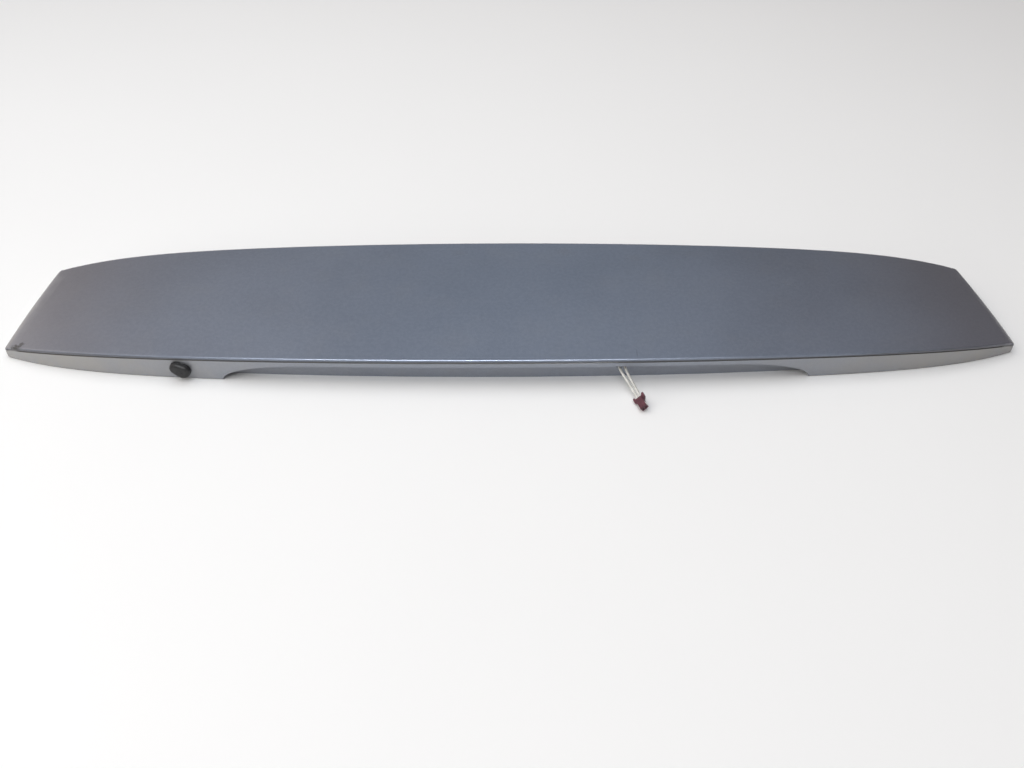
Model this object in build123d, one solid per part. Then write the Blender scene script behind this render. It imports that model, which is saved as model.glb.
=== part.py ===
from build123d import *
import math
import os

# Roof spoiler of a tailgate: two moulded shells with a washer jet and a short two-wire lead.
# X runs across the car, +Y points to the front edge and Z is up, in millimetres.
# The origin is on the floor, under the middle of the part.

# Plan of the part
half_width = 620.0
chord = 229.0
end_taper = 0.129
taper_start = 88.8
rear_bow = 32.7
rear_sweep = 22.6
front_bow = 4.4
front_sweep = 19.0
corner_width = 4.0
corner_reach = 28.0
end_length = 20.0

# Heights of the rear and front edges at the middle, and their falls towards the ends
rear_height = 36.4
rear_crown = 7.8
rear_drop = 13.0
front_height = 50.1
front_crown = 19.4
front_drop = 8.6
camber = 5.0

# Shells and the joint between them; at the ends the skin rolls down and its rims thin out
wall = 3.0
rear_edge_radius = 2.2
front_edge_radius = 5.0
rear_rim = 3.6
front_rim = 9.0
rear_end_rim = 0.9
front_end_rim = 4.0
rear_roll = 17.0
front_roll = 6.0
rear_seam_fall = 4.5
front_seam_fall = 2.0
tip_lift = 2.0
joint_gap = 0.2
joint_groove = 1.6

# Underside
foot_depth = 52.0
ramp_length = 46.0
foot_radius = 1.6
under_height = 34.0
rib_thickness = 2.0
rib_places = (70.0, 200.0, 470.0, 550.0)
drain_diameter = 5.0
drain_across = 510.0

# Cut-out under the rear lip
lip_height = 10.8
cutout_half_width = 352.4
cutout_end_length = 100.0
recess_depth = 12.5

# Studs that fix the part, with their pads and foam rings
stud_along = 165.0
stud_places = (130.0, 330.0)
stud_diameter = 6.0
stud_length = 18.0
stud_tip_chamfer = 0.8
collar_diameter = 8.0
stud_head_diameter = 14.0
stud_head_height = 3.0
pad_diameter = 26.0
pad_proud = 1.5
pad_height = 5.5
hole_clearance = 0.4
seal_diameter = 23.0
seal_thickness = 5.0

# Foam strip and felt pads under the front edge and the ends
strip_half_length = 480.0
strip_width = 8.0
strip_thickness = 4.0
strip_setback = 6.0
felt_across = 565.0
felt_length = 36.0
felt_width = 24.0
felt_along = 112.0
felt_thickness = 2.5
seat_gap = 0.1
glue_gap = 0.3

# Washer jet on the rear face
jet_from_cutout = 38.8
jet_height = 14.0
jet_radius = 9.5
jet_nose_radius = 8.3
jet_nose_reach = 7.2
jet_tilt = -32.0
jet_rise = 7.8
jet_edge_radius = 4.2
gasket_thickness = 1.0
gasket_setback = 0.5
barrel_diameter = 12.0
barrel_length = 19.0
nut_diameter = 16.4
nut_height = 4.0
nozzle_diameter = 6.0
nozzle_depth = 3.0
spray_diameter = 1.2
bore_diameter = 3.0
spigot_diameter = 4.0
spigot_length = 12.0
spigot_bore = 2.2
spigot_from_end = 6.0
fit_clearance = 0.1

# Hose inside the hollow and its fitting in the floor
hose_diameter = 6.5
coupling_x = -250.0
coupling_along = 150.0
coupling_flange = 14.0
coupling_flange_height = 2.0
coupling_body = 10.0
coupling_body_height = 7.0
coupling_stem = 8.0
coupling_tail = 6.0
coupling_tail_length = 12.0
coupling_turn = 222.0
ring_diameter = 13.0
ring_thickness = 2.5

# Lead: gland in the recess wall, two wires and a plug that lies on the floor behind the part
gland_across = 121.0
gland_height = 19.0
gland_length = 17.0
gland_width = 8.0
gland_flange = 1.6
gland_step = 1.5
wire_diameter = 3.0
wire_spacing = 7.0
plug_rear = (139.8, -34.2, 6.5)
plug_heading = -75.5
plug_pitch = -2.0
plug_roll = 42.0
plug_length = 16.0
plug_width = 8.8
plug_thickness = 6.4
plug_corner = 0.9
plug_wire_spacing = 3.8
ear_reach = 2.9
ear_back = 4.2
ear_length = 8.0
ear_thickness = 3.0
contact_diameter = 2.2
contact_length = 9.5
contact_bore = 1.4
contact_seat = 11.0
lock_width = 3.6
lock_length = 5.0
lock_depth = 1.0
lock_proud = 0.4
lock_place = 11.8


def bend(span, bow, sweep):
    return bow * span**2 + sweep * abs(span) ** 8


def ease(across, length):
    # Grows from 0 to 1 as a quarter of an ellipse, over the last stretch before an end.
    turn = max(0.0, abs(across) - half_width + length) / length
    return 1.0 - math.sqrt(1.0 - min(1.0, turn) ** 2)


class Station:
    # One upright cut through the part, a given way from the middle.
    def __init__(self, across, inset=0.0):
        span = across / half_width
        corner = corner_reach * ease(across, corner_width)
        rear_turn = ease(across, rear_roll)
        front_turn = ease(across, front_roll)
        rear_rise = rear_rim + (rear_end_rim - rear_rim) * rear_turn
        front_rise = front_rim + (front_end_rim - front_rim) * front_turn
        self.across = across
        self.rear = inset + bend(span, rear_bow, rear_sweep) + corner
        self.front = chord - inset - bend(span, front_bow, front_sweep) - corner
        self.depth = self.front - self.rear
        self.rear_seam = rear_height - bend(span, rear_crown, rear_drop) - rear_rim
        self.rear_seam -= rear_seam_fall * rear_turn
        self.front_seam = front_height - bend(span, front_crown, front_drop) - front_rim
        self.front_seam -= front_seam_fall * front_turn
        self.rear_top = self.rear_seam + rear_rise - inset
        self.front_top = self.front_seam + front_rise - inset
        self.rear_round = rear_edge_radius * rear_rise / rear_rim
        self.front_round = front_edge_radius * front_rise / front_rim
        kept_depth = self.depth / (self.depth + 2 * corner)
        self.foot_end = foot_depth * kept_depth
        self.ramp_end = (foot_depth + ramp_length) * kept_depth
        self.foot = inset + tip_lift * rear_turn
        self.under = under_height * (1.0 - span**2) + self.foot

    def point(self, along, height):
        y = self.rear + along
        x = self.across * (1.0 - end_taper * (y - taper_start) / half_width)
        return Vector(x, y - chord / 2, height)

    def top(self, along):
        share = along / self.depth
        rise = camber * (self.depth / chord) ** 2 * 4 * share * (1 - share)
        return self.point(along, self.rear_top + (self.front_top - self.rear_top) * share + rise)

    def seam(self, along, offset):
        share = along / self.depth
        return self.point(along, self.rear_seam + (self.front_seam - self.rear_seam) * share + offset)


# The hollow middle stops short of the rolled ends, which are solid
hollow_half = half_width - end_length
station_count = 8
hollow_right = [hollow_half * (step + 1) / station_count for step in range(station_count)]
hollow_stations = [-across for across in reversed(hollow_right)] + [0.0] + hollow_right
end_run = end_length - corner_width
corner_turns = (0.0, 32.0, 58.0, 78.0, 90.0)
corner_start = half_width - corner_width
end_stations = [hollow_half + end_run * share for share in (-0.6, -0.3, 0.0, 0.25, 0.5, 0.75)]
end_stations += [corner_start + corner_width * math.sin(math.radians(turn)) for turn in corner_turns]


def skin_edges(cut, rear_low, front_low):
    # Edges of the top skin, from the rear seam over the top to the front seam.
    rear_high = cut.point(0, cut.rear_top - cut.rear_round)
    front_high = cut.point(cut.depth, cut.front_top - cut.front_round)
    inner = cut.depth - cut.rear_round - cut.front_round
    points = [cut.top(cut.rear_round + inner * share) for share in (0, 0.33, 0.67, 1.0)]
    tangents = [points[0] - cut.top(0), cut.top(cut.depth) - points[-1]]
    return [
        Edge.make_line(rear_low, rear_high),
        Edge.make_bezier(rear_high, cut.top(0), points[0]),
        Edge.make_spline(points, tangents=tangents),
        Edge.make_bezier(points[-1], cut.top(cut.depth), front_high),
        Edge.make_line(front_high, front_low),
    ]


def cap_hollow_section(across):
    outer = Station(across)
    inner = Station(across, wall)
    rear_land = outer.seam(wall, 0)
    front_land = outer.seam(outer.depth - wall, 0)
    front_high = inner.point(inner.depth, inner.front_top - inner.front_round)
    span = inner.depth - inner.front_round - joint_groove
    points = [inner.top(joint_groove + span * share) for share in (1.0, 0.67, 0.33, 0)]
    edges = skin_edges(outer, outer.seam(0, 0), outer.seam(outer.depth, 0))
    edges.append(Edge.make_line(outer.seam(outer.depth, 0), front_land))
    edges.append(Edge.make_line(front_land, front_high))
    edges.append(Edge.make_bezier(front_high, inner.top(inner.depth), points[0]))
    edges.append(Edge.make_spline(points))
    edges.append(Edge.make_line(points[-1], rear_land))
    edges.append(Edge.make_line(rear_land, outer.seam(0, 0)))
    return Wire(edges)


def cap_end_section(across):
    outer = Station(across)
    rear_low = outer.seam(0, 0)
    front_low = outer.seam(outer.depth, 0)
    return Wire(skin_edges(outer, rear_low, front_low) + [Edge.make_line(front_low, rear_low)])


def closed_outline(corners, rounded):
    # Straight edges between the corners, with a curve towards a control point where one is given.
    edges = []
    for index, start in enumerate(corners):
        end = corners[(index + 1) % len(corners)]
        if index in rounded:
            edges.append(Edge.make_bezier(start, rounded[index], end))
        else:
            edges.append(Edge.make_line(start, end))
    return Wire(edges)


def tray_corners(cut):
    # Rear face, foot, ramp, underside and front wall, below the groove of the joint.
    deep = cut.depth
    return [
        cut.seam(joint_groove, -joint_gap),
        cut.seam(0, -joint_gap - joint_groove),
        cut.point(0, cut.foot + foot_radius),
        cut.point(foot_radius, cut.foot),
        cut.point(cut.foot_end, cut.foot),
        cut.point(cut.ramp_end, cut.under),
        cut.point(deep - foot_radius, cut.under),
        cut.point(deep, cut.under + foot_radius),
        cut.seam(deep, -joint_gap - joint_groove),
        cut.seam(deep - joint_groove, -joint_gap),
    ]


def tray_rounding(cut):
    return {2: cut.point(0, cut.foot), 6: cut.point(cut.depth, cut.under)}


def tray_hollow_section(across):
    outer = Station(across)
    inner = Station(across, wall)
    hollow = [
        outer.seam(outer.depth - wall, -joint_gap),
        inner.point(inner.depth, inner.under),
        inner.point(inner.ramp_end - wall, inner.under),
        inner.point(inner.foot_end - wall, inner.foot),
        inner.point(0, inner.foot),
        outer.seam(wall, -joint_gap),
    ]
    return closed_outline(tray_corners(outer) + hollow, tray_rounding(outer))


def tray_end_section(across):
    outer = Station(across)
    return closed_outline(tray_corners(outer), tray_rounding(outer))


def solid_end(section):
    # The right end, cut off at the plane where the hollow middle stops.
    block = Solid.make_loft([section(across) for across in end_stations])
    stop = Station(hollow_half)
    along = stop.point(stop.depth, 0) - stop.point(0, 0)
    plane = Plane(stop.point(0, 0), x_dir=along, z_dir=along.cross(Vector(0, 0, 1)))
    return block.split(plane, keep=Keep.TOP)


def with_ends(middle, section):
    right = solid_end(section)
    return middle + right + right.mirror(Plane.YZ)


def upper_shell():
    middle = Solid.make_loft([cap_hollow_section(across) for across in hollow_stations])
    return with_ends(middle, cap_end_section)


def rear_line(offset, half_length):
    # The rear edge seen from above, moved forwards by an offset.
    points = []
    for share in (-1.0, -0.66, -0.33, 0.0, 0.33, 0.66, 1.0):
        cut = Station(half_length * share)
        points.append(cut.point(offset, 0))
    return Edge.make_spline(points)


def plan_strip(near, far, low, high):
    # An upright band that follows the rear edge, between two offsets and two heights.
    half_length = cutout_half_width + recess_depth
    rear = rear_line(near, half_length)
    front = rear_line(far, half_length)
    left = Edge.make_line(rear.position_at(0), front.position_at(0))
    right = Edge.make_line(rear.position_at(1), front.position_at(1))
    face = Face(Wire([rear, right, front, left]))
    return Solid.extrude(face, Vector(0, 0, high - low)).moved(Location((0, 0, low)))


def arch(grow):
    # The cut-out seen from behind: a line along the crown with an elliptic end on each side.
    flat = cutout_half_width - cutout_end_length
    crown = []
    for share in (-1.0, -0.5, 0.0, 0.5, 1.0):
        crown.append((flat * share, Station(flat * share).rear_top - lip_height + grow))
    end_height = crown[0][1]
    reach = cutout_end_length + grow
    with BuildSketch(Plane.XZ) as sketch:
        with BuildLine():
            Spline(*crown)
            right = EllipticalCenterArc((flat, 0), reach, end_height, 0, arc_size=90)
            left = EllipticalCenterArc((-flat, 0), reach, end_height, 90, arc_size=90)
            Line(right @ 0, (flat + reach, -wall))
            Line((flat + reach, -wall), (-flat - reach, -wall))
            Line((-flat - reach, -wall), left @ 1)
        make_face()
    return extrude(sketch.sketch, amount=chord, both=True)


def recess_cut():
    return arch(0) & plan_strip(-chord / 4, recess_depth, -wall, rear_height)


def recess_liner():
    # Soffit and rear-facing wall that close the shell round the cut-out.
    shroud = plan_strip(wall / 2, recess_depth + wall, 0, rear_height)
    return (arch(wall) & shroud) - recess_cut()


def disc(diameter, height):
    return Cylinder(diameter / 2, height, align=(Align.CENTER, Align.CENTER, Align.MIN))


def pad_face(x, along):
    # Middle of a pad's lower face, along the part from the middle of the rear edge.
    return Vector(x, along - chord / 2, Station(x).under - pad_proud)


def floor_pad(x, along):
    # A flat round pad moulded through the floor.
    return Pos(pad_face(x, along)) * disc(pad_diameter, pad_height)


def stud_points():
    points = []
    for x in stud_places:
        points.append(pad_face(-x, stud_along))
        points.append(pad_face(x, stud_along))
    return points


def drill(place, diameter):
    return Pos(place) * Cylinder(diameter / 2, 4 * pad_height)


def rib(across):
    cut = Station(across, wall / 2)
    outer = Station(across)
    corners = [
        outer.seam(wall / 2, -joint_gap - joint_groove),
        cut.point(0, cut.foot),
        cut.point(cut.foot_end - wall / 2, cut.foot),
        cut.point(cut.ramp_end - wall / 2, cut.under),
        cut.point(cut.depth, cut.under),
        outer.seam(outer.depth - wall / 2, -joint_gap - joint_groove),
    ]
    face = Face(Wire.make_polygon(corners, close=True))
    side = face.normal_at() * (rib_thickness / 2)
    return Solid.extrude(face, side * 2).moved(Location(-side))


def face_plane(across, along, height):
    # On an upright face that follows the rear edge: X along it, Y up and Z pointing out to the rear.
    step = 1.0
    middle = Station(across).point(along, height)
    ahead = Station(across + step).point(along, height)
    tangent = ahead - middle
    return Plane(middle, x_dir=tangent, z_dir=tangent.cross(Vector(0, 0, 1)))


def jet_plane():
    return face_plane(-cutout_half_width - jet_from_cutout, 0, jet_height)


def gland_plane():
    return face_plane(gland_across, recess_depth, gland_height)


def on_jet(shape, out=0.0):
    return jet_plane().location * Pos(0, 0, out) * shape


def jet_hole():
    return on_jet(disc(barrel_diameter + hole_clearance, 4 * wall), -2 * wall)


def egg(shrink, height):
    # A large and a small circle with tangents between them, the small one up to the left.
    large = Circle(jet_radius - shrink)
    small = Pos(-jet_nose_reach, 0) * Circle(jet_nose_radius - shrink)
    return extrude(Rot(0, 0, jet_tilt) * make_hull(large.edges() + small.edges()), height)


def gland_slot(grow, low, high):
    # A long rounded block in the recess wall, between two distances out of the wall's face.
    shape = SlotOverall(gland_length + 2 * grow, gland_width + 2 * grow)
    return gland_plane().location * Pos(0, 0, low) * extrude(shape, high - low)


def lower_shell():
    middle = Solid.make_loft([tray_hollow_section(across) for across in hollow_stations])
    shell = with_ends(middle, tray_end_section)
    for across in rib_places:
        shell = shell + rib(across) + rib(-across)
    shell = shell - recess_cut() + recess_liner()
    for x in stud_places:
        shell = shell + floor_pad(x, stud_along) + floor_pad(-x, stud_along)
    shell = shell + floor_pad(coupling_x, coupling_along)
    for place in stud_points():
        shell = shell - drill(place, collar_diameter + hole_clearance)
    shell = shell - drill(pad_face(coupling_x, coupling_along), coupling_stem + hole_clearance)
    shell = shell - jet_hole()
    shell = shell - gland_slot(-gland_step, -2 * wall, wall)
    for across in (-drain_across, drain_across):
        shell = shell - drill(Station(across).point(foot_depth / 2, 0), drain_diameter)
    return shell


def mounting_studs():
    studs = []
    for place in stud_points():
        head = Pos(place) * Pos(0, 0, pad_height) * disc(stud_head_diameter, stud_head_height)
        collar = Pos(place) * Pos(0, 0, -seal_thickness) * disc(collar_diameter, seal_thickness + pad_height)
        shank = Pos(place) * Pos(0, 0, -stud_length) * disc(stud_diameter, stud_length)
        shank = chamfer(shank.edges().sort_by(Axis.Z)[0], stud_tip_chamfer)
        studs.append(head + collar + shank)
    return studs


def stud_seals():
    rings = []
    for place in stud_points():
        ring = disc(seal_diameter, seal_thickness) - disc(collar_diameter + hole_clearance, seal_thickness)
        rings.append(Pos(place) * Pos(0, 0, -seal_thickness - seat_gap) * ring)
    return rings


def under_strip(across_list, along_of, width, thickness):
    # A strip that follows the underside, from near to far edge and of even thickness.
    sections = []
    for across in across_list:
        cut = Station(across)
        near = along_of(cut)
        top = cut.under - glue_gap
        corners = [
            cut.point(near, top),
            cut.point(near + width, top),
            cut.point(near + width, top - thickness),
            cut.point(near, top - thickness),
        ]
        sections.append(Wire.make_polygon(corners, close=True))
    return Solid.make_loft(sections)


def front_seal():
    across_list = [strip_half_length * share for share in (-1.0, -0.5, 0.0, 0.5, 1.0)]
    setback = strip_setback + strip_width
    return under_strip(across_list, lambda cut: cut.depth - setback, strip_width, strip_thickness)


def end_pads():
    pads = []
    for side in (-1, 1):
        across_list = [side * (felt_across + felt_length * share) for share in (-0.5, 0.0, 0.5)]
        pads.append(under_strip(across_list, lambda cut: felt_along, felt_width, felt_thickness))
    return pads


def jet_gasket():
    ring = egg(gasket_setback, gasket_thickness - seat_gap)
    return on_jet(ring - disc(barrel_diameter + hole_clearance, gasket_thickness), seat_gap)


def spigot_depth():
    # How far behind the rear face the jet's hose spigot stands.
    return barrel_length - spigot_from_end


def jet_body():
    seat = jet_rise - nozzle_depth
    dome = egg(0, jet_rise - gasket_thickness)
    dome = fillet(dome.edges().group_by(Axis.Z)[-1], jet_edge_radius)
    body = Pos(0, 0, gasket_thickness) * dome
    body = body + Pos(0, 0, -barrel_length) * disc(barrel_diameter, barrel_length + seat)
    side = Pos(0, 0, -spigot_depth()) * Rot(0, 90, 0)
    reach = barrel_diameter / 2 + spigot_length
    body = body + side * disc(spigot_diameter - 2 * fit_clearance, reach)
    body = body - Pos(0, 0, seat) * disc(nozzle_diameter + 2 * fit_clearance, nozzle_depth)
    body = body - Pos(0, 0, -spigot_depth()) * disc(bore_diameter, spigot_depth() + seat)
    body = body - side * disc(spigot_bore, reach)
    return on_jet(body)


def jet_insert():
    insert = disc(nozzle_diameter, nozzle_depth) - disc(spray_diameter, nozzle_depth)
    return on_jet(insert, jet_rise - nozzle_depth)


def jet_nut():
    nut = disc(nut_diameter, nut_height) - disc(barrel_diameter + 2 * fit_clearance, nut_height)
    return on_jet(nut, -wall - nut_height - seat_gap)


def coupling_point():
    return pad_face(coupling_x, coupling_along) + Vector(0, 0, pad_height)


def coupling_axis_height():
    return coupling_flange_height + coupling_body_height / 2


def hose_coupling():
    fitting = disc(coupling_flange, coupling_flange_height)
    fitting = fitting + Pos(0, 0, coupling_flange_height) * disc(coupling_body, coupling_body_height)
    stem = pad_height + seat_gap + ring_thickness
    fitting = fitting + Pos(0, 0, -stem) * disc(coupling_stem, stem)
    tail = stem + coupling_tail_length
    fitting = fitting + Pos(0, 0, -tail) * disc(coupling_tail, coupling_tail_length)
    side = Pos(0, 0, coupling_axis_height()) * Rot(0, 0, coupling_turn) * Rot(0, 90, 0)
    fitting = fitting + side * disc(spigot_diameter - 2 * fit_clearance, coupling_body / 2 + spigot_length)
    rise = coupling_axis_height() + tail
    fitting = fitting - Pos(0, 0, -tail) * disc(spigot_bore, rise)
    fitting = fitting - side * disc(spigot_bore, coupling_body / 2 + spigot_length)
    return Pos(coupling_point()) * fitting


def coupling_seal():
    ring = disc(ring_diameter, ring_thickness) - disc(coupling_stem + hole_clearance, ring_thickness)
    place = pad_face(coupling_x, coupling_along) - Vector(0, 0, ring_thickness + seat_gap)
    return Pos(place) * ring


def route_radii(points):
    # Each corner's arc is as large as its two runs allow.
    radii = []
    for before, here, after in zip(points, points[1:], points[2:]):
        turn = math.radians((here - before).get_angle(after - here))
        shorter = min((here - before).length, (after - here).length)
        radii.append(0.45 * shorter / math.tan(turn / 2))
    return radii


def tube(name, points, diameter, bore):
    radii = route_radii(points)
    path = FilletPolyline(*points, radius=radii)
    ends = Plane(points[0], z_dir=points[1] - points[0])
    section = ends * Circle(diameter / 2)
    if bore:
        section = section - ends * Circle(bore / 2)
    solid = sweep(section, path=path.wire())
    length = path.wire().length
    plain = math.pi / 4 * (diameter**2 - bore**2) * length
    print(name, "length", round(length, 1), "radii", [round(radius, 1) for radius in radii])
    print(name, "volume over section times length", round(solid.volume / plain, 4))
    return solid


def hose_points():
    # From the jet's spigot, along the foot, up the ramp and into the fitting in the floor.
    jet = jet_plane()
    start = jet.from_local_coords(Vector(barrel_diameter / 2 + fit_clearance, 0, -spigot_depth()))
    heading = jet.x_dir
    turn = math.radians(coupling_turn)
    away = Vector(math.cos(turn), math.sin(turn), 0)
    end = coupling_point() + Vector(0, 0, coupling_axis_height())
    end = end + away * (coupling_body / 2 + fit_clearance)
    return [
        start,
        start + heading * 26,
        start + heading * 52 + Vector(0, 14, 4),
        start + heading * 74 + Vector(0, 42, 12),
        end + away * 52 + Vector(0, -3, -2),
        end + away * 26,
        end,
    ]


def washer_hose():
    return tube("washer_hose", hose_points(), hose_diameter, spigot_diameter)


def plug_plane():
    # Z runs from the wires to the open end, X over the two ears and Y through the thickness.
    heading = math.radians(plug_heading)
    pitch = math.radians(plug_pitch)
    ahead = Vector(math.cos(heading) * math.cos(pitch), math.sin(heading) * math.cos(pitch), math.sin(pitch))
    level = Vector(0, 0, 1).cross(ahead).normalized()
    across = level.rotate(Axis((0, 0, 0), ahead), plug_roll)
    x, y, z = plug_rear
    return Plane(Vector(x, y - chord / 2, z), x_dir=across, z_dir=ahead)


def ear(side):
    half = plug_width / 2
    corners = [
        (side * (half - plug_corner), ear_length),
        (side * (half + ear_reach), ear_length / 4),
        (side * (half + ear_reach), -ear_back),
        (side * (half + ear_reach / 3), -ear_back),
        (side * (half - plug_corner), 0),
    ]
    outline = Plane.XZ * make_face(Polyline(*corners, close=True))
    return extrude(outline, ear_thickness / 2, both=True)


def lock_box(width, length, height):
    # Stands in the narrow side of the plug that faces up.
    box = Box(height, width, length, align=(Align.MIN, Align.CENTER, Align.CENTER))
    return Pos(plug_width / 2 - lock_depth, 0, lock_place) * box


def connector_housing():
    body = extrude(RectangleRounded(plug_width, plug_thickness, plug_corner), plug_length)
    body = chamfer(body.edges().group_by(Axis.Z)[-1], plug_corner / 2)
    body = body + ear(-1) + ear(1)
    for side in (-1, 1):
        seat = Pos(side * plug_wire_spacing / 2, 0, plug_length - contact_seat)
        body = body - seat * disc(contact_diameter + 2 * fit_clearance, contact_seat)
    gap = 2 * fit_clearance
    body = body - lock_box(lock_width + gap, lock_length + gap, lock_depth + plug_corner)
    return plug_plane().location * body


def connector_lock():
    plate = lock_box(lock_width, lock_length, lock_depth)
    bar = lock_box(lock_width, lock_length / 3, lock_depth + lock_proud)
    return plug_plane().location * (plate + bar)


def connector_contacts():
    contacts = []
    for side in (-1, 1):
        contact = disc(contact_diameter, contact_length)
        socket = Pos(0, 0, contact_length / 2) * disc(contact_bore, contact_length / 2)
        seat = Pos(side * plug_wire_spacing / 2, 0, plug_length - contact_seat)
        contacts.append(plug_plane().location * seat * (contact - socket))
    return contacts


def lead_gland():
    outer = gland_slot(0, seat_gap, seat_gap + gland_flange)
    inner = gland_slot(0, -wall - seat_gap - gland_flange, -wall - seat_gap)
    neck = gland_slot(-gland_step - fit_clearance, -wall - gland_flange, gland_flange)
    return outer + neck + inner


def wire_points(side):
    # From the gland's face out and down to the plug, at side -1 or 1.
    gland = gland_plane()
    start = gland.from_local_coords(Vector(side * wire_spacing / 2, 0, seat_gap + gland_flange))
    plug = plug_plane()
    end = plug.from_local_coords(Vector(side * plug_wire_spacing / 2, 0, 0))
    return [
        start,
        start + gland.z_dir * 8,
        start + gland.z_dir * 18.5 + Vector(5.2 - side * 0.8, 0, -5),
        end - plug.z_dir * 10.5,
        end,
    ]


def write(name, shape):
    solids = shape if isinstance(shape, list) else shape.solids()
    found = Compound(children=list(solids)) if len(solids) > 1 else solids[0]
    export_step(found, os.path.join("parts", name + ".step"))


def main():
    os.makedirs("parts", exist_ok=True)
    write("upper_shell", upper_shell())
    write("lower_shell", lower_shell())
    write("mounting_studs", mounting_studs())
    write("stud_seals", stud_seals())
    write("front_seal", front_seal())
    write("end_pads", end_pads())
    write("jet_gasket", jet_gasket())
    write("jet_body", jet_body())
    write("jet_insert", jet_insert())
    write("jet_nut", jet_nut())
    write("washer_hose", washer_hose())
    write("hose_coupling", hose_coupling())
    write("coupling_seal", coupling_seal())
    write("lead_gland", lead_gland())
    write("lead_wire_left", tube("lead_wire_left", wire_points(-1), wire_diameter, 0))
    write("lead_wire_right", tube("lead_wire_right", wire_points(1), wire_diameter, 0))
    write("connector_housing", connector_housing())
    write("connector_lock", connector_lock())
    write("connector_contacts", connector_contacts())


main()
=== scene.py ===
import math
import bmesh
import bpy
from mathutils import Matrix, Vector


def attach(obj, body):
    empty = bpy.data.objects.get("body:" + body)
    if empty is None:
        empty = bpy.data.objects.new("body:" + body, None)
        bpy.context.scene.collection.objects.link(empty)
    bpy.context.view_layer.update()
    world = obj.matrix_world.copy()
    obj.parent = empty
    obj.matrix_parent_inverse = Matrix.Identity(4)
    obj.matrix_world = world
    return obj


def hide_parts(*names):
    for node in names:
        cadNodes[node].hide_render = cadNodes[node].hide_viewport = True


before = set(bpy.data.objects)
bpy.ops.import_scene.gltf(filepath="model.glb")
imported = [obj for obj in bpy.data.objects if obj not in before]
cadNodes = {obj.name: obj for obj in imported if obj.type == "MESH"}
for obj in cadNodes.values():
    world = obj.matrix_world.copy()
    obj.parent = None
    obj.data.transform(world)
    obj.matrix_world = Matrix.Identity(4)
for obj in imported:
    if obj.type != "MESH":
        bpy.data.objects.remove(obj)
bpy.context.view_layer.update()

scene = bpy.context.scene
scene.view_settings.view_transform = "Standard"
print("frame loaded:", len(cadNodes), "nodes")


# Camera, standing behind the part and looking down on it
viewpoint = {
    "place": (-0.04124, -0.94115, 0.74286),
    "turn": 2.289,  # degrees to the right of +Y
    "tip": 41.933,  # degrees below level
    "roll": 1.202,
    "focal": 930.0,  # pixels, on an image 1024 wide
    "imageWidth": 1024.0,
    "sensor": 36.0,
    "nearest": 0.01,
}


def placeCamera(view):
    turn, tip, roll = (math.radians(view[key]) for key in ("turn", "tip", "roll"))
    ahead = Vector((math.sin(turn) * math.cos(tip), math.cos(turn) * math.cos(tip), -math.sin(tip)))
    level = Vector((math.cos(turn), -math.sin(turn), 0))
    above = level.cross(ahead)
    right = level * math.cos(roll) + above * math.sin(roll)
    up = above * math.cos(roll) - level * math.sin(roll)
    lens = bpy.data.cameras.new("viewCamera")
    lens.sensor_width = view["sensor"]
    lens.lens = view["sensor"] * view["focal"] / view["imageWidth"]
    lens.clip_start = view["nearest"]
    eye = bpy.data.objects.new("viewCamera", lens)
    turned = Matrix((right, up, -ahead)).transposed().to_4x4()
    eye.matrix_world = Matrix.Translation(view["place"]) @ turned
    scene.collection.objects.link(eye)
    scene.camera = eye


placeCamera(viewpoint)
print("camera placed")


# Node helpers: an input is a value, or another node's output
def setInput(tree, node, key, value):
    if isinstance(value, bpy.types.NodeSocket):
        tree.links.new(value, node.inputs[key])
    else:
        node.inputs[key].default_value = value


def addNode(tree, kind, inputs=None, **settings):
    node = tree.nodes.new(kind)
    for key, value in settings.items():
        setattr(node, key, value)
    for key, value in (inputs or {}).items():
        setInput(tree, node, key, value)
    return node


def newFinish(name, **sockets):
    finish = bpy.data.materials.new(name)
    finish.use_nodes = True
    tree = finish.node_tree
    shader = tree.nodes["Principled BSDF"]
    for key, value in sockets.items():
        shader.inputs[key.replace("_", " ")].default_value = value
    return finish, tree, shader


def figure(tree, operation, first, second=0.0):
    return addNode(tree, "ShaderNodeMath", {0: first, 1: second}, operation=operation).outputs[0]


def fade(tree, value, low, high, start=0.0, end=1.0):
    sockets = {"Value": value, "From Min": low, "From Max": high, "To Min": start, "To Max": end}
    return addNode(tree, "ShaderNodeMapRange", sockets, interpolation_type="SMOOTHSTEP").outputs[0]


def mixColour(tree, share, first, second):
    node = addNode(tree, "ShaderNodeMix", data_type="RGBA")
    for key, value in ((0, share), (6, first), (7, second)):
        setInput(tree, node, key, value)
    return node.outputs[2]


def grain(tree, place, scale, detail=2.0, roughness=0.5):
    sockets = {"Vector": place, "Scale": scale, "Detail": detail, "Roughness": roughness}
    return addNode(tree, "ShaderNodeTexNoise", sockets).outputs["Fac"]


def pores(tree, place, scale):
    return addNode(tree, "ShaderNodeTexVoronoi", {"Vector": place, "Scale": scale}).outputs["Distance"]


def stretched(tree, place, stretch):
    return addNode(tree, "ShaderNodeMapping", {"Vector": place, "Scale": stretch}).outputs[0]


def objectPlace(tree):
    return addNode(tree, "ShaderNodeTexCoord").outputs["Object"]


def fromMiddle(tree, place):
    across = addNode(tree, "ShaderNodeSeparateXYZ", {0: place}).outputs["X"]
    return figure(tree, "ABSOLUTE", across)


def facing(tree):
    normal = addNode(tree, "ShaderNodeNewGeometry").outputs["Normal"]
    return addNode(tree, "ShaderNodeSeparateXYZ", {0: normal}).outputs


def emboss(tree, shader, height, distance, strength):
    sockets = {"Height": height, "Distance": distance, "Strength": strength}
    bump = addNode(tree, "ShaderNodeBump", sockets)
    tree.links.new(bump.outputs[0], shader.inputs["Normal"])


grainSpan = (0.3, 0.7)  # most of a grain's values lie between these two


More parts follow.
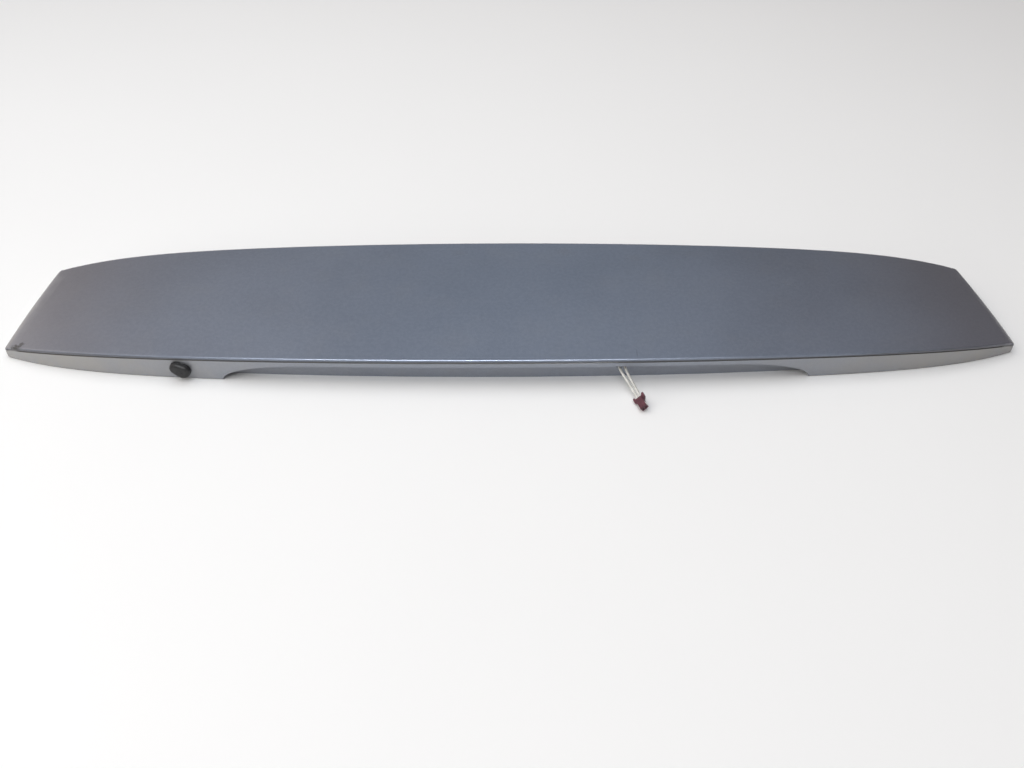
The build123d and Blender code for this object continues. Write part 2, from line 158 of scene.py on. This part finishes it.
# Paint of both shells. A grain is its scale, detail and roughness
paint = {
    "colour": (0.255, 0.292, 0.368, 1),
    "metallic": 0.75,
    "coat": 0.45,
    "coatRough": 0.1,
    "clouds": (7.0, 3.0),
    "cloudTones": (0.97, 1.03),
    "specks": [(240.0, 2.0, 0.035), (2600.0, 1.0, 0.10)],  # mottle and flake: scale, detail and depth
    "peel": 420.0,
    "peelBump": (0.00003, 0.4),
    "rough": (0.33, 0.41),
    "soiledRough": 0.3,  # added where soil and the painted shade and light lie
    # pale film: dust, and painted light that makes the rear face and the rolled ends lighter
    "film": (0.345, 0.330, 0.310, 1),
    "filmSoil": 0.6,  # how far the dust and painted light counts as soil
    # dark grime, also used as painted shade in the joints
    "grime": (0.040, 0.037, 0.034, 1),
}


def paintCoat(name, spec):
    # metallic flake under a clear coat, with broad clouds and a fine mottle
    finish, tree, shader = newFinish(name, Coat_Weight=spec["coat"], Coat_Roughness=spec["coatRough"])
    place = objectPlace(tree)
    cloud = grain(tree, place, *spec["clouds"])
    tone = fade(tree, cloud, *grainSpan, *spec["cloudTones"])
    for scale, detail, depth in spec["specks"]:
        speck = fade(tree, grain(tree, place, scale, detail), *grainSpan, -depth, depth)
        tone = figure(tree, "ADD", tone, speck)
    coat = addNode(tree, "ShaderNodeHueSaturation", {"Color": spec["colour"], "Value": tone}).outputs[0]
    emboss(tree, shader, grain(tree, place, spec["peel"]), *spec["peelBump"])
    return finish, tree, shader, place, cloud, coat


def paintSoilAndPaintedLight(tree, shader, spec, coat, soil, cloud):
    # soil and the painted shade and light cover the flake, and take the shine with it
    setInput(tree, shader, "Base Color", coat)
    clean = figure(tree, "SUBTRACT", 1.0, soil)
    setInput(tree, shader, "Metallic", figure(tree, "MULTIPLY", clean, spec["metallic"]))
    rough = fade(tree, cloud, *grainSpan, *spec["rough"])
    dulled = figure(tree, "MULTIPLY", soil, spec["soiledRough"])
    setInput(tree, shader, "Roughness", figure(tree, "ADD", rough, dulled))


# Wear of the top skin, with painted reflection and painted shade. A fade is where it starts and ends, and
# its share at each
topWearAndPaintedLight = {
    "dust": (0.40, 0.39, 0.37, 1),
    "dustGrain": (19.0, 5.0, 0.6),
    "dustFade": (0.45, 0.75, 0.0, 0.07),
    "dull": (0.255, 0.235, 0.250, 1),
    "dullFade": (0.40, 0.62, 0.0, 0.45),  # metres from the middle
    "rolledFade": (0.25, 0.65, 0.0, 0.7),  # painted reflection: how far the skin faces sideways
    "jointFade": (-0.972, -0.998, 0.0, 0.65),  # painted shade: how far it faces the rear
    "jointWider": (0.36, 0.54, 0.0, 0.085),  # painted shade, wider at the ends: metres from the middle
    "ripple": (320.0, 4.0, 0.65),
    "rippleFade": (0.2, 0.8, -0.5, 0.5),
    "markFade": (1.15, 0.35),
    # each mark: its middle, its reach and how dark it is
    "marks": [
        ((-0.6035, -0.0655, 0.0165), (0.0098, 0.0062, 0.0090), 0.92),
        ((-0.5980, -0.0615, 0.0205), (0.0042, 0.0046, 0.0066), 0.80),
        ((0.0653, 0.0903, 0.0503), (0.0140, 0.0110, 0.0300), 0.20),
        ((0.1570, 0.0774, 0.0494), (0.0120, 0.0100, 0.0300), 0.16),
        ((0.2389, 0.0891, 0.0476), (0.0180, 0.0100, 0.0300), 0.16),
        ((0.3508, 0.0279, 0.0440), (0.0100, 0.0090, 0.0300), 0.22),
        ((-0.0737, 0.0884, 0.0503), (0.0110, 0.0090, 0.0300), 0.14),
        ((0.0236, 0.1120, 0.0490), (0.0016, 0.0030, 0.0060), 0.80),
        ((0.1394, -0.1036, 0.0373), (0.0009, 0.0070, 0.0080), 0.30),
    ],
}


def spot(tree, place, ripple, centre, reach, border):
    # a soft patch round a point, with an uneven border
    away = addNode(tree, "ShaderNodeVectorMath", {0: place, 1: centre}, operation="SUBTRACT").outputs[0]
    scaled = addNode(tree, "ShaderNodeVectorMath", {0: away, 1: reach}, operation="DIVIDE").outputs[0]
    far = addNode(tree, "ShaderNodeVectorMath", {0: scaled}, operation="LENGTH").outputs["Value"]
    return fade(tree, figure(tree, "ADD", far, ripple), *border)


def topPaint(spec, wear):
    finish, tree, shader, place, cloud, coat = paintCoat("topPaint", spec)
    turned = facing(tree)
    aside = fromMiddle(tree, place)
    haze = fade(tree, grain(tree, place, *wear["dustGrain"]), *wear["dustFade"])
    coat = mixColour(tree, haze, coat, wear["dust"])
    # duller towards both ends, with a painted reflection that makes the edge rolled down there lighter
    coat = mixColour(tree, fade(tree, aside, *wear["dullFade"]), coat, wear["dull"])
    # painted reflection: the rolled edge is made lighter the more it faces sideways
    paintedReflection = fade(tree, figure(tree, "ABSOLUTE", turned["X"]), *wear["rolledFade"])
    coat = mixColour(tree, paintedReflection, coat, spec["film"])
    ripple = fade(tree, grain(tree, place, *wear["ripple"]), *wear["rippleFade"])
    dirtAndShade = 0.0
    for centre, reach, dark in wear["marks"]:
        patch = spot(tree, place, ripple, centre, reach, wear["markFade"])
        dirtAndShade = figure(tree, "MAXIMUM", dirtAndShade, figure(tree, "MULTIPLY", patch, dark))
    # painted shade along the joint, with some dirt, where the rolled edge turns to the rear
    rearward = figure(tree, "SUBTRACT", turned["Y"], fade(tree, aside, *wear["jointWider"]))
    dirtAndShade = figure(tree, "MAXIMUM", dirtAndShade, fade(tree, rearward, *wear["jointFade"]))
    soil = figure(tree, "MAXIMUM", dirtAndShade, figure(tree, "MULTIPLY", paintedReflection, spec["filmSoil"]))
    paintSoilAndPaintedLight(tree, shader, spec, mixColour(tree, dirtAndShade, coat, spec["grime"]), soil, cloud)
    return finish


# Wear of the rear face, the joint and the underside, with painted light on the rear face and painted shade
# in the joint
rearWearAndPaintedLight = {
    "filmGrain": (35.0, 5.0, 0.6),
    "filmPatches": (0.85, 1.1),
    "filmFade": (0.15, 0.60, 0.30, 0.85),  # painted light, stronger towards the ends: metres from the middle
    "bare": (0.075, 0.077, 0.082, 1),
    "bareGrain": (900.0, 3.0),
    "bareFade": (-0.2, -0.5),  # how far the shell faces down
    "jointFade": (0.25, 0.55, 0.0, 0.92),  # painted shade in the joint: how far it faces up
    "jointEnds": (0.607, 0.600),  # metres from the middle
}


def rearPaint(spec, wear):
    # dust and painted light on the rear face, painted shade in the joint, which looks up, and a bare
    # underside
    finish, tree, shader, place, cloud, coat = paintCoat("rearPaint", spec)
    height = facing(tree)["Z"]
    aside = fromMiddle(tree, place)
    patchy = fade(tree, grain(tree, place, *wear["filmGrain"]), *grainSpan, *wear["filmPatches"])
    # dust, and painted light: the rear face is made lighter than the top, more towards the ends
    film = figure(tree, "MULTIPLY", patchy, fade(tree, aside, *wear["filmFade"]))
    coat = mixColour(tree, film, coat, spec["film"])
    under = fade(tree, height, *wear["bareFade"])
    bare = mixColour(tree, grain(tree, place, *wear["bareGrain"]), wear["bare"], spec["grime"])
    coat = mixColour(tree, under, coat, bare)
    # painted shade in the joint groove, where it faces up
    jointShade = fade(tree, height, *wear["jointFade"])
    jointShade = figure(tree, "MULTIPLY", jointShade, fade(tree, aside, *wear["jointEnds"]))
    coat = mixColour(tree, jointShade, coat, spec["grime"])
    soil = figure(tree, "MAXIMUM", under, jointShade)
    soil = figure(tree, "MAXIMUM", soil, figure(tree, "MULTIPLY", film, spec["filmSoil"]))
    paintSoilAndPaintedLight(tree, shader, spec, coat, soil, cloud)
    return finish


finishes = {"upper_shell": topPaint(paint, topWearAndPaintedLight), "lower_shell": rearPaint(paint, rearWearAndPaintedLight)}


# Moulded plastics, rubber and wire: two tones, the middle roughness and the scale of the grain
moulded = {
    "black_plastic": {
        "tones": ((0.010, 0.010, 0.011, 1), (0.022, 0.022, 0.023, 1)),
        "rough": 0.50,
        "grain": 1500.0,
    },
    "black_rubber": {
        "tones": ((0.014, 0.014, 0.014, 1), (0.030, 0.029, 0.028, 1)),
        "rough": 0.70,
        "grain": 1100.0,
    },
    "red_plastic": {
        "tones": ((0.072, 0.020, 0.032, 1), (0.130, 0.034, 0.054, 1)),
        "rough": 0.38,
        "grain": 1300.0,
    },
    "pale_plastic": {
        "tones": ((0.72, 0.68, 0.65, 1), (0.84, 0.80, 0.77, 1)),
        "rough": 0.42,
        "grain": 1300.0,
    },
    "wire_white": {
        "tones": ((0.56, 0.55, 0.52, 1), (0.74, 0.73, 0.70, 1)),
        "rough": 0.45,
        "grain": 700.0,
    },
}
mouldedSkin = {
    "patches": (160.0, 4.0, 0.6),
    "fineSpan": (0.25, 0.75),
    "smoother": 0.07,
    "rougher": 0.09,
    "bump": (0.00005, 0.5),
}


def mouldedFinish(name, spec, skin):
    finish, tree, shader = newFinish(name)
    place = objectPlace(tree)
    patch = fade(tree, grain(tree, place, *skin["patches"]), *grainSpan)
    setInput(tree, shader, "Base Color", mixColour(tree, patch, *spec["tones"]))
    fine = grain(tree, place, spec["grain"])
    low, high = spec["rough"] - skin["smoother"], spec["rough"] + skin["rougher"]
    setInput(tree, shader, "Roughness", fade(tree, fine, *skin["fineSpan"], low, high))
    emboss(tree, shader, fine, *skin["bump"])
    return finish


for slotName, spec in moulded.items():
    finishes[slotName] = mouldedFinish(slotName.title().replace("_", ""), spec, mouldedSkin)


# Foam with open pores
foam = {
    "tones": ((0.010, 0.010, 0.010, 1), (0.048, 0.048, 0.050, 1)),
    "toneSpan": (0.05, 0.6),
    "pores": 900.0,
    "roughFade": (0.0, 0.7, 0.98, 0.85),
    "bump": (0.0004, 0.7),
}


def foamFinish(spec):
    finish, tree, shader = newFinish("sealFoam")
    pore = pores(tree, objectPlace(tree), spec["pores"])
    shade = fade(tree, pore, *spec["toneSpan"])
    setInput(tree, shader, "Base Color", mixColour(tree, shade, *spec["tones"]))
    setInput(tree, shader, "Roughness", fade(tree, pore, *spec["roughFade"]))
    emboss(tree, shader, pore, *spec["bump"])
    return finish


# Felt of short fibres, most of them lying one way
felt = {
    "tones": ((0.030, 0.030, 0.032, 1), (0.105, 0.103, 0.102, 1)),
    "toneSpan": (0.35, 0.65),
    "stretch": (1.0, 6.0, 1.0),
    "lay": (420.0, 6.0, 0.7),
    "cross": (1300.0, 5.0, 0.7),
    "roughFade": (0.3, 0.7, 0.98, 0.88),
    "sheen": 0.3,
    "sheenRough": 0.6,
    "bump": (0.0005, 0.8),
}


def feltFinish(spec):
    sheen = {"Sheen_Weight": spec["sheen"], "Sheen_Roughness": spec["sheenRough"]}
    finish, tree, shader = newFinish("padFelt", **sheen)
    place = objectPlace(tree)
    lay = grain(tree, stretched(tree, place, spec["stretch"]), *spec["lay"])
    cross = grain(tree, place, *spec["cross"])
    fibre = figure(tree, "MULTIPLY", figure(tree, "ADD", lay, cross), 0.5)
    shade = fade(tree, fibre, *spec["toneSpan"])
    setInput(tree, shader, "Base Color", mixColour(tree, shade, *spec["tones"]))
    setInput(tree, shader, "Roughness", fade(tree, fibre, *spec["roughFade"]))
    emboss(tree, shader, fibre, *spec["bump"])
    return finish


finishes["foam"] = foamFinish(foam)
finishes["felt"] = feltFinish(felt)


# Plated metals, drawn along Z
metals = {
    "steel": {"tones": ((0.46, 0.45, 0.41, 1), (0.66, 0.66, 0.64, 1)), "rough": (0.28, 0.48)},
    "contact_metal": {"tones": ((0.55, 0.44, 0.26, 1), (0.74, 0.68, 0.55, 1)), "rough": (0.22, 0.38)},
}
metalSkin = {
    "clouds": (240.0, 4.0, 0.6),
    "cloudSpan": (0.35, 0.65),
    "drawnStretch": (1.0, 1.0, 0.1),
    "drawn": 2200.0,
    "bump": (0.00002, 0.4),
}


def metalFinish(name, spec, skin):
    finish, tree, shader = newFinish(name, Metallic=1.0)
    place = objectPlace(tree)
    cloud = fade(tree, grain(tree, place, *skin["clouds"]), *skin["cloudSpan"])
    setInput(tree, shader, "Base Color", mixColour(tree, cloud, *spec["tones"]))
    drawn = grain(tree, stretched(tree, place, skin["drawnStretch"]), skin["drawn"])
    setInput(tree, shader, "Roughness", fade(tree, drawn, *grainSpan, *spec["rough"]))
    emboss(tree, shader, drawn, *skin["bump"])
    return finish


for slotName, spec in metals.items():
    finishes[slotName] = metalFinish(slotName.title().replace("_", ""), spec, metalSkin)
print("finishes made:", len(finishes))


def addPiece(name, data, slotName, *replaced):
    data.materials.clear()
    data.materials.append(finishes[slotName])
    piece = bpy.data.objects.new(name, data)
    scene.collection.objects.link(piece)
    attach(piece, "root")
    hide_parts(*replaced)
    return piece


# Two short white wires, from the gland to the plug
lead = {
    "diameter": 0.003,
    "left": [
        (0.11942, -0.10253, 0.01900),
        (0.11959, -0.11052, 0.01900),
        (0.12580, -0.12102, 0.01400),
        (0.13579, -0.13885, 0.00560),
        (0.13842, -0.14901, 0.00523),
    ],
    "right": [
        (0.12642, -0.10238, 0.01900),
        (0.12659, -0.11038, 0.01900),
        (0.13120, -0.12088, 0.01400),
        (0.13855, -0.13823, 0.00814),
        (0.14118, -0.14839, 0.00777),
    ],
    "lengths": {"left": 0.0534, "right": 0.0505},
    "plug": ("connector_housing", "connector_lock", "connector_contacts"),
    "stepsAlong": 12,
    "stepsRound": 6,
}


def leadWire(side, spec):
    curve = bpy.data.curves.new("wire_" + side, "CURVE")
    curve.dimensions = "3D"
    line = curve.splines.new("NURBS")
    line.points.add(len(spec[side]) - 1)
    for point, place in zip(line.points, spec[side]):
        point.co = (*place, 1)
    line.order_u = 3
    line.use_endpoint_u = True
    line.resolution_u = spec["stepsAlong"]
    curve.bevel_depth = spec["diameter"] / 2
    curve.bevel_resolution = spec["stepsRound"]
    curve.use_fill_caps = True
    wire = addPiece("wire_" + side, curve, "wire_white", "lead_wire_" + side)


leadWire("left", lead)
leadWire("right", lead)
print("wires laid")


# Studs with a rolled thread below the collar, measured from the pad that each one stands in
stud = {
    "places": [(side * 0.13, 0.0505, 0.031005) for side in (-1, 1)]
    + [(side * 0.33, 0.0505, 0.022868) for side in (-1, 1)],
    "upper": [  # radius and height of the head and the collar, from the top down
        (0.0062, 0.0085),
        (0.0070, 0.0079),
        (0.0070, 0.0058),
        (0.0066, 0.0055),
        (0.0040, 0.0055),
        (0.0040, -0.0046),
        (0.0036, -0.0050),
        (0.0030, -0.0050),
    ],
    "threadTop": -0.0052,
    "tip": -0.0180,
    "chamfer": 0.0008,
    "radius": 0.0030,
    "pitch": 0.0010,
    "depth": 0.00054,
    "around": 40,
    "stepsPerTurn": 8,
}


def threadRings(spec):
    # rings of radii, one radius for each point around
    rings = [([radius] * spec["around"], height) for radius, height in spec["upper"]]
    length = spec["threadTop"] - spec["tip"]
    steps = round(length / spec["pitch"] * spec["stepsPerTurn"])
    for step in range(steps + 1):
        height = spec["threadTop"] - length * step / steps
        runOut = min(1.0, step / spec["stepsPerTurn"])
        point = max(0.0, spec["chamfer"] - (height - spec["tip"]))
        radii = []
        for index in range(spec["around"]):
            phase = (step / spec["stepsPerTurn"] + index / spec["around"]) % 1.0
            cut = runOut * spec["depth"] * (1.0 - abs(2.0 * phase - 1.0))
            radii.append(min(spec["radius"] - cut, spec["radius"] - point))
        rings.append((radii, height))
    return rings


def addStud(form, base, rings, around):
    turns = [(math.cos(2 * math.pi * i / around), math.sin(2 * math.pi * i / around)) for i in range(around)]
    loops = []
    for radii, height in rings:
        corner = [(base[0] + r * x, base[1] + r * y, base[2] + height) for r, (x, y) in zip(radii, turns)]
        loops.append([form.verts.new(place) for place in corner])
    for upper, lower in zip(loops, loops[1:]):
        for i in range(around):
            nextOne = (i + 1) % around
            form.faces.new((upper[i], lower[i], lower[nextOne], upper[nextOne]))
    form.faces.new(loops[0])
    form.faces.new(list(reversed(loops[-1])))


def makeStuds(spec):
    form = bmesh.new()
    rings = threadRings(spec)
    for base in spec["places"]:
        addStud(form, base, rings, spec["around"])
    mesh = bpy.data.meshes.new("threaded_studs")
    form.to_mesh(mesh)
    form.free()
    addPiece("threaded_studs", mesh, "steel", "mounting_studs")


makeStuds(stud)
print("studs threaded")


# Foam rings, foam strip and felt pads: the solid's own form, with soft edges and an uneven skin
softPieces = {
    "foam_rings": {"node": "stud_seals", "slot": "foam", "voxel": 0.0007, "soften": 10, "uneven": 0.0005},
    "foam_strip": {"node": "front_seal", "slot": "foam", "voxel": 0.0010, "soften": 8, "uneven": 0.0006},
    "felt_pads": {"node": "end_pads", "slot": "felt", "voxel": 0.0006, "soften": 4, "uneven": 0.0004},
}
softSkin = {
    "pull": 0.5,  # how far each pass of softening goes
    "lumps": 0.004,
    "level": 0.7,  # above a half, so that the skin stays inside the solid
    "fill": 1.0,
}


def softPiece(name, spec, skin):
    piece = addPiece(name, cadNodes[spec["node"]].data.copy(), spec["slot"], spec["node"])
    rebuild = piece.modifiers.new("rebuild", "REMESH")
    rebuild.mode = "VOXEL"
    rebuild.voxel_size = spec["voxel"]
    rebuild.use_smooth_shade = True
    soften = piece.modifiers.new("soften", "SMOOTH")
    soften.factor = skin["pull"]
    soften.iterations = spec["soften"]
    lumps = bpy.data.textures.new(name, "CLOUDS")
    lumps.noise_scale = skin["lumps"]
    uneven = piece.modifiers.new("uneven", "DISPLACE")
    uneven.texture = lumps
    uneven.texture_coords = "LOCAL"
    uneven.strength = spec["uneven"]
    uneven.mid_level = skin["level"]


for name, spec in softPieces.items():
    softPiece(name, spec, softSkin)
print("foam and felt made")


# Floor, with a faint unevenness of tone
floorBoard = {
    "half": 4.0,
    "tones": ((0.945, 0.95, 0.955, 1), (0.965, 0.97, 0.975, 1)),
    "grain": 3.0,
    "rough": 0.9,
    "shine": 0.2,
}


def layFloor(spec):
    mesh = bpy.data.meshes.new("floor")
    form = bmesh.new()
    half = spec["half"]
    corners = ((-half, -half), (half, -half), (half, half), (-half, half))
    form.faces.new([form.verts.new((x, y, 0)) for x, y in corners])
    form.to_mesh(mesh)
    form.free()
    floor = bpy.data.objects.new("floor", mesh)
    scene.collection.objects.link(floor)
    finish, tree, shader = newFinish("floorPaint", Roughness=spec["rough"], Specular_IOR_Level=spec["shine"])
    speck = grain(tree, objectPlace(tree), spec["grain"])
    setInput(tree, shader, "Base Color", mixColour(tree, speck, *spec["tones"]))
    mesh.materials.append(finish)


# Lamps: one broad, one low at the left, and a strip that only shows as a highlight
lamps = {
    "ceiling": {
        "place": (-0.9, -0.6, 2.3),
        "aim": (-0.9, -0.59, 0.0),
        "size": (4.0, 4.4),
        "power": 64.0,
        "colour": (0.98, 0.995, 1.0),
        "mirrored": False,
        "spreads": True,
    },
    "window": {
        "place": (-1.7, -1.1, 0.45),
        "aim": (-0.45, -0.1, 0.02),
        "size": (0.9, 0.7),
        "power": 9.0,
        "colour": (1.0, 0.98, 0.95),
        "mirrored": False,
        "spreads": True,
    },
    "strip": {
        "place": (-0.2, -1.4, 1.65),
        "aim": (0.0, -0.1, 0.03),
        "size": (1.3, 0.06),
        "power": 38.0,
        "colour": (0.96, 0.98, 1.0),
        "mirrored": True,
        "spreads": False,
    },
}


def hangLamp(name, spec):
    lamp = bpy.data.lights.new(name, "AREA")
    lamp.shape = "RECTANGLE"
    lamp.size, lamp.size_y = spec["size"]
    lamp.energy = spec["power"]
    lamp.color = spec["colour"]
    hung = bpy.data.objects.new(name, lamp)
    hung.visible_glossy = spec["mirrored"]
    hung.visible_diffuse = spec["spreads"]
    look = Vector(spec["aim"]) - Vector(spec["place"])
    turned = look.to_track_quat("-Z", "Y").to_matrix().to_4x4()
    hung.matrix_world = Matrix.Translation(spec["place"]) @ turned
    scene.collection.objects.link(hung)


# Room around the part, in parts of a unit direction
room = {
    # from where to where each side's colour fades in along X, from the far left to the right
    "sides": [
        ((-0.52, -0.68), (1.02, 0.93, 0.84, 1)),
        ((0.0, -0.6), (0.43, 0.37, 0.335, 1)),
        ((0.15, 0.4), (0.188, 0.166, 0.16, 1)),
    ],
    "middle": (0.29, 0.315, 0.345, 1),
    "upward": (0.3, 0.92, 0.88, 1.60),  # brighter overhead
    "forward": (-0.35, 0.15, 0.5, 1.0),  # dimmer from the rear
}


def lightRoom(spec):
    world = bpy.data.worlds.new("room")
    world.use_nodes = True
    tree = world.node_tree
    direction = addNode(tree, "ShaderNodeTexCoord").outputs["Generated"]
    axes = addNode(tree, "ShaderNodeSeparateXYZ", {0: direction}).outputs
    colour = spec["middle"]
    for span, tone in reversed(spec["sides"]):
        colour = mixColour(tree, fade(tree, axes["X"], *span), colour, tone)
    back = tree.nodes["Background"]
    setInput(tree, back, "Color", colour)
    level = fade(tree, axes["Z"], *spec["upward"])
    dimmed = fade(tree, axes["Y"], *spec["forward"])
    setInput(tree, back, "Strength", figure(tree, "MULTIPLY", level, dimmed))
    scene.world = world


layFloor(floorBoard)
for name, spec in lamps.items():
    hangLamp(name, spec)
lightRoom(room)
print("floor and light set")


# Finishes on to the nodes of the frame
for name, node in cadNodes.items():
    slotName = node.data.materials[0].name.split(".")[0]
    node.data.materials[0] = finishes.get(name) or finishes[slotName]
print("nodes finished")
